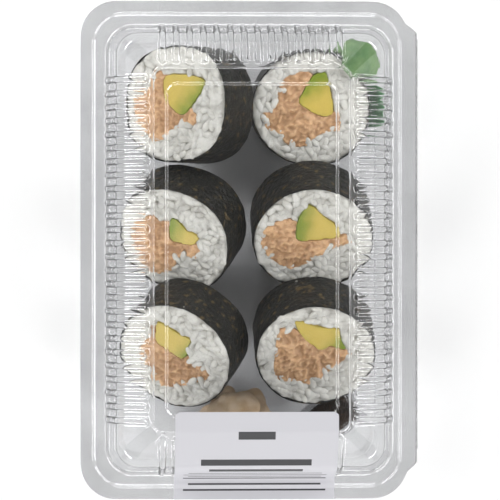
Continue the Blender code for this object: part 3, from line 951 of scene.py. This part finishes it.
def makeLeaf():
    leaf = {
        "foot": [(47.4, 66.2), (49.2, 60.0), (49.5, 55.0), (48.7, 49.6)], "teeth": 3, "rise": 2.6,
        "low": 12.0, "rim": 22.0, "lean": 3.6, "rows": 8, "wall": 0.3,
    }
    foot = [Vector(p) for p in leaf["foot"]]
    count = leaf["teeth"] * 8
    points, faces = [], []
    for k in range(count + 1):
        share = k / count * (len(foot) - 1)
        part = min(int(share), len(foot) - 2)
        spot = foot[part].lerp(foot[part + 1], share - part)
        tooth = leaf["rise"] * (1 - abs((k / 8) % 1 - 0.5) * 2)
        for r in range(leaf["rows"] + 1):
            up = r / leaf["rows"]
            height = leaf["low"] + (leaf["rim"] + tooth - leaf["low"]) * up
            bend = 0.35 * math.sin(k / count * 9 + up * 2) * up
            points.append((spot.x + (leaf["lean"] + tooth) * up + bend, spot.y, height))
    wide = leaf["rows"] + 1
    for k in range(count):
        for r in range(leaf["rows"]):
            faces.append((k * wide + r, (k + 1) * wide + r, (k + 1) * wide + r + 1, k * wide + r + 1))
    obj = meshPiece("leafPlastic", points, faces)
    thicken(obj, leaf["wall"], 0.0)
    smoothAt(obj, 40)
    material, nodes, links, shader = newMaterial("leafPlastic", 0.3)
    addMottle(nodes, links, shader, sideLook["leaf"], darker(sideLook["leaf"], 0.8), 120, 0.4, 0.7)
    obj.data.materials.append(material)
    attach(obj, "tray")
    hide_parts("leaf")


def makeGinger():  # thin slices, folded and laid over one another in a heap
    heap = {
        "middle": (-5.0, -67.6), "radii": (17.5, 14.3), "top": 12.0, "foot": 1.15, "spread": 0.62,
        "slices": 16, "long": (6.5, 9.0), "short": (4.6, 6.4), "wall": 0.45, "seed": 5,
        "around": 36, "across": 8,
    }
    draw = random.Random(heap["seed"])
    points, faces = [], []
    around, across = heap["around"], heap["across"]
    long, short = heap["radii"]
    for index in range(heap["slices"]):
        share = (index + 0.5) / heap["slices"]
        angle, far = draw.uniform(0, 2 * math.pi), heap["spread"] * math.sqrt(1 - share * 0.8)
        middle = Vector((long * far * math.cos(angle), short * far * math.sin(angle)))
        size = (draw.uniform(*heap["long"]), draw.uniform(*heap["short"]))
        swirl, phase = draw.uniform(0, math.pi), draw.uniform(0, 6.3)
        layer = 2.0 + (heap["top"] - 2.8) * share
        start = len(points)
        for r in range(across + 1):
            for k in range(around):
                a = 2 * math.pi * k / around
                edge = 1 + 0.07 * math.sin(3 * a + phase) + 0.05 * math.sin(5 * a - phase)
                local = Vector((math.cos(a) * size[0], math.sin(a) * size[1])) * (r / across * edge)
                spot = middle + Matrix.Rotation(swirl, 2) @ local
                reach = (spot.x / long) ** 2 + (spot.y / short) ** 2
                if reach > 1:
                    spot = spot / math.sqrt(reach)
                    reach = 1.0
                fold = 0.9 * math.sin(local.x * 0.55 + phase)
                fold += 0.5 * math.sin(local.y * 0.9 - phase) * (r / across)
                height = min(layer, 1.2 + heap["top"] * math.sqrt(max(0.0, 1.02 - reach))) + fold * 0.7
                x, y = spot.x + heap["middle"][0], spot.y + heap["middle"][1]
                points.append((x, y, max(heap["foot"], height)))
        for r in range(across):
            for k in range(around):
                n = (k + 1) % around
                a, b = start + r * around, start + (r + 1) * around
                faces.append((a + k, b + k, b + n, a + n))
    ginger = meshPiece("gingerSlices", points, faces)
    mergeClose(ginger, False)
    thicken(ginger, heap["wall"], 0.0)
    for key in ("E", "F"):
        carve(ginger, rollRoom(key, 0.3))
    smoothAt(ginger, 50)
    material, nodes, links, shader = newMaterial("pickledGinger", 0.3)
    addMottle(nodes, links, shader, sideLook["ginger"], sideLook["gingerShade"], 180, 0.4, 0.7)
    softInside(shader, (1.0, 0.7, 0.4), 0.2)
    addRelief(nodes, links, shader, 500, 2, 0.25, 0.2)
    ginger.data.materials.append(material)
    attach(ginger, "tray")
    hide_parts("ginger")


sachet = {
    "middle": (32.6, -68.6, 4.6), "half": (14.0, 9.2), "thick": 6.0, "film": 0.8, "crimp": 2.4,
    "turn": 37.0, "filling": 0.995,
}


def pillow(name, grow, steps, crimped):  # two skins that swell apart inside a flat edge
    halfX, halfY = sachet["half"]
    limitX = 1.0 if crimped else sachet["filling"] - sachet["crimp"] / halfX
    limitY = 1.0 if crimped else sachet["filling"] - sachet["crimp"] / halfY
    points, faces = [], []
    for side in (1, -1):
        for i in range(steps + 1):
            for j in range(steps + 1):
                x = (2 * i / steps - 1) * limitX * halfX
                y = (2 * j / steps - 1) * limitY * halfY
                acrossX = max(0.0, 1 - (x / (halfX - sachet["crimp"])) ** 2)
                acrossY = max(0.0, 1 - (y / (halfY - sachet["crimp"])) ** 2)
                swell = (sachet["thick"] - sachet["film"]) / 2 * (acrossX * acrossY) ** 0.4
                crease = 0.18 * ruffle((x, y, side * 9), 3.0, 8) * min(1.0, swell)
                wave = 0.0
                if abs(x) > halfX - sachet["crimp"]:
                    wave = 0.14 * math.sin(abs(x) * 7.0)
                points.append((x, y, side * (0.12 + swell + crease + grow) + wave))
    wide = steps + 1
    for side in range(2):
        base = side * wide * wide
        for i in range(steps):
            for j in range(steps):
                a = base + i * wide + j
                quad = (a, a + wide, a + wide + 1, a + 1)
                faces.append(quad if side == 0 else quad[::-1])
    rim = [i * wide for i in range(wide)] + [steps * wide + j for j in range(1, wide)]
    rim += [i * wide + steps for i in range(steps - 1, -1, -1)] + [j for j in range(steps - 1, 0, -1)]
    for a, b in zip(rim, rim[1:] + rim[:1]):
        faces.append((a, wide * wide + a, wide * wide + b, b))
    obj = meshPiece(name, points, faces)
    obj.location = Vector(sachet["middle"]) * mm
    obj.rotation_euler = (0, 0, math.radians(sachet["turn"]))
    inPlace(obj)
    mergeClose(obj, True)
    smoothAt(obj, 40)
    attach(obj, "tray")
    return obj


def makeSachet():
    film = pillow("sachetFilm", 0.12, 40, True)
    material, nodes, links, shader = newMaterial("sachetFilm", 0.12)
    addMottle(nodes, links, shader, (0.75, 0.75, 0.76), (0.68, 0.68, 0.69), 200, 0.4, 0.7)
    shader.inputs["Transmission Weight"].default_value = 1.0
    film.data.materials.append(material)
    film.visible_shadow = False
    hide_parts("soy_sachet")
    sauce = pillow("sachetSauce", 0.0, 30, False)
    material, nodes, links, shader = newMaterial("soySauce", 0.15)
    addMottle(nodes, links, shader, sideLook["sauce"], (0.035, 0.018, 0.008), 90, 0.4, 0.7)
    sauce.data.materials.append(material)


def boxMask(nodes, links, coordinates, middle, half):  # 1 inside a plain rectangle of the label
    away = nodes.new("ShaderNodeVectorMath")
    away.operation = "SUBTRACT"
    away.inputs[1].default_value = (*middle, 0)
    size = nodes.new("ShaderNodeVectorMath")
    size.operation = "ABSOLUTE"
    parts = nodes.new("ShaderNodeSeparateXYZ")
    links.new(coordinates, away.inputs[0])
    links.new(away.outputs[0], size.inputs[0])
    links.new(size.outputs[0], parts.inputs[0])
    both = nodes.new("ShaderNodeMath")
    both.operation = "MULTIPLY"
    for slot, (axis, limit) in enumerate((("X", half[0]), ("Y", half[1]))):
        test = nodes.new("ShaderNodeMath")
        test.operation = "LESS_THAN"
        test.inputs[1].default_value = limit
        links.new(parts.outputs[axis], test.inputs[0])
        links.new(test.outputs[0], both.inputs[slot])
    return both.outputs[0]


def labelPaper():
    material, nodes, links, shader = newMaterial("labelPaper", 0.45)
    plan = nodes.new("ShaderNodeUVMap")
    plan.uv_map = "labelPlan"
    ink = None
    blocks = [((0.5, 0.80), (0.11, 0.035))]
    blocks += [((0.5, 0.55), (0.33, 0.028)), ((0.5, 0.45), (0.28, 0.028))]
    blocks += [((0.5, 0.36 - 0.055 * k), (0.43 if k % 2 else 0.40, 0.007)) for k in range(6)]
    for middle, half in blocks:
        mask = boxMask(nodes, links, plan.outputs["UV"], middle, half)
        if ink is None:
            ink = mask
            continue
        both = nodes.new("ShaderNodeMath")
        both.operation = "MAXIMUM"
        links.new(ink, both.inputs[0])
        links.new(mask, both.inputs[1])
        ink = both.outputs[0]
    printed = addMix(nodes, links, ink, sideLook["paper"], sideLook["ink"])
    addMottle(nodes, links, shader, printed, darker(sideLook["paper"], 0.97), 90, 0.75, 0.95)
    return material


def makeLabel():
    sheet = {
        "middle": 2.0, "half": 32.0, "corner": 1.6, "gap": 0.12, "wall": 0.12,
        "columns": 32, "step": 0.8, "planWidth": 66,
    }
    profile = [
        (63.3, 51.75), (65.3, 51.6), (71.0, 51.2), (72.6, 50.6), (73.9, 49.8),
        (82.8, 44.6), (84.9, 43.6), (86.6, 41.7), (90.5, flangeTop + 1.9), (91.3, flangeTop + 1.25),
        (93.6, flangeTop + 1.2), (94.4, flangeTop + 0.4), (99.2, flangeTop + 0.3),
    ]
    profile = [np.array(p) for p in profile]
    spots = [profile[0]]
    for a, b in zip(profile, profile[1:]):
        steps = max(1, int(np.linalg.norm(b - a) / sheet["step"]))
        spots += [a + (b - a) * k / steps for k in range(1, steps + 1)]
    lengths = [0.0]
    for a, b in zip(spots, spots[1:]):
        lengths.append(lengths[-1] + float(np.linalg.norm(b - a)))
    points, plan = [], []
    for spot, far in zip(spots, lengths):
        half = sheet["half"]
        if far < sheet["corner"]:
            corner = sheet["corner"]
            half -= corner - math.sqrt(max(0.0, corner ** 2 - (corner - far) ** 2))
        for k in range(sheet["columns"] + 1):
            x = sheet["middle"] + half * (2 * k / sheet["columns"] - 1)
            points.append((x, -float(spot[0]), float(spot[1]) + sheet["gap"]))
            across = (x - sheet["middle"]) / sheet["planWidth"] + 0.5
            plan.append((across, 0.99 - 0.98 * far / lengths[-1]))
    wide = sheet["columns"] + 1
    faces = []
    for r in range(len(spots) - 1):
        for k in range(sheet["columns"]):
            a = r * wide + k
            faces.append((a, a + wide, a + wide + 1, a + 1))
    obj = meshPiece("labelSheet", points, faces)
    layer = obj.data.uv_layers.new(name="labelPlan")
    for loop in obj.data.loops:
        layer.data[loop.index].uv = plan[loop.vertex_index]
    thicken(obj, sheet["wall"], 1.0)
    smoothAt(obj, 50)
    obj.data.materials.append(labelPaper())
    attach(obj, "lid")
    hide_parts("label")


makeWasabi()
makeLeaf()
makeGinger()
makeSachet()
makeLabel()
print("side pieces done")

# Floor, lamps and camera

floorLook = {"colour": (0.985, 0.985, 0.985), "roughness": 0.6}


def makeStage():
    bpy.ops.mesh.primitive_plane_add(size=3.0, location=(0, 0, -0.0002))
    ground = newest("floor")
    material, nodes, links, shader = newMaterial("paleFloor", floorLook["roughness"])
    addMottle(nodes, links, shader, floorLook["colour"], darker(floorLook["colour"], 0.98), 3, 0.3, 0.7)
    ground.data.materials.append(material)


def addLamp(name, place, aim, size, power):
    lamp = bpy.data.lights.new(name, "AREA")
    lamp.shape = "RECTANGLE"
    lamp.size, lamp.size_y = size
    lamp.energy = power
    obj = bpy.data.objects.new(name, lamp)
    scene.collection.objects.link(obj)
    obj.location = place
    way = Vector(aim) - Vector(place)
    obj.rotation_euler = way.to_track_quat("-Z", "Y").to_euler()


lampLook = {  # places and sizes in metres, powers in watts
    "world": 0.12, "aim": (0, 0, 0.03),
    "wall": 2.4, "wallSize": (1.7, 0.75), "wallPlace": (1.1, 0, 0.4), "wallAim": (0, 0, 0.4),
    "strips": [2.05, 2.05, 2.05, 1.9], "stripSize": (0.5, 0.2), "stripPlace": (0.75, 0, 0.72),
    "corner": 2.8, "cornerSize": (0.66, 0.16), "cornerPlace": (1.05, 0, 0.43),
}


def makeLight():
    world = bpy.data.worlds.new("studio")
    scene.world = world
    world.use_nodes = True
    sky = world.node_tree.nodes["Background"]
    sky.inputs["Color"].default_value = (1, 1, 1, 1)
    sky.inputs["Strength"].default_value = lampLook["world"]
    for index in range(4):
        turn = Matrix.Rotation(index * math.pi / 2, 3, "Z")
        place = turn @ Vector(lampLook["wallPlace"])
        addLamp("wall%d" % index, place, lampLook["wallAim"], lampLook["wallSize"], lampLook["wall"])
        place = turn @ Vector(lampLook["stripPlace"])
        addLamp("strip%d" % index, place, lampLook["aim"], lampLook["stripSize"], lampLook["strips"][index])
        turn = Matrix.Rotation((index + 0.5) * math.pi / 2, 3, "Z")
        place = turn @ Vector(lampLook["cornerPlace"])
        addLamp("corner%d" % index, place, lampLook["aim"], lampLook["cornerSize"], lampLook["corner"])


def makeCamera():
    view = {"away": 1.3, "width": 0.199, "aim": (0.0004, 0.0, hingeZ * mm), "aside": -0.065}
    data = bpy.data.cameras.new("camera")
    data.lens = data.sensor_width * view["away"] / view["width"]
    camera = bpy.data.objects.new("camera", data)
    scene.collection.objects.link(camera)
    x, y, z = view["aim"]
    camera.location = (x + view["aside"], y, z + view["away"])
    camera.rotation_euler = (0, math.atan2(view["aside"], view["away"]), 0)
    scene.camera = camera
    scene.view_settings.view_transform = "Standard"


makeStage()
makeLight()
makeCamera()
print("stage done")
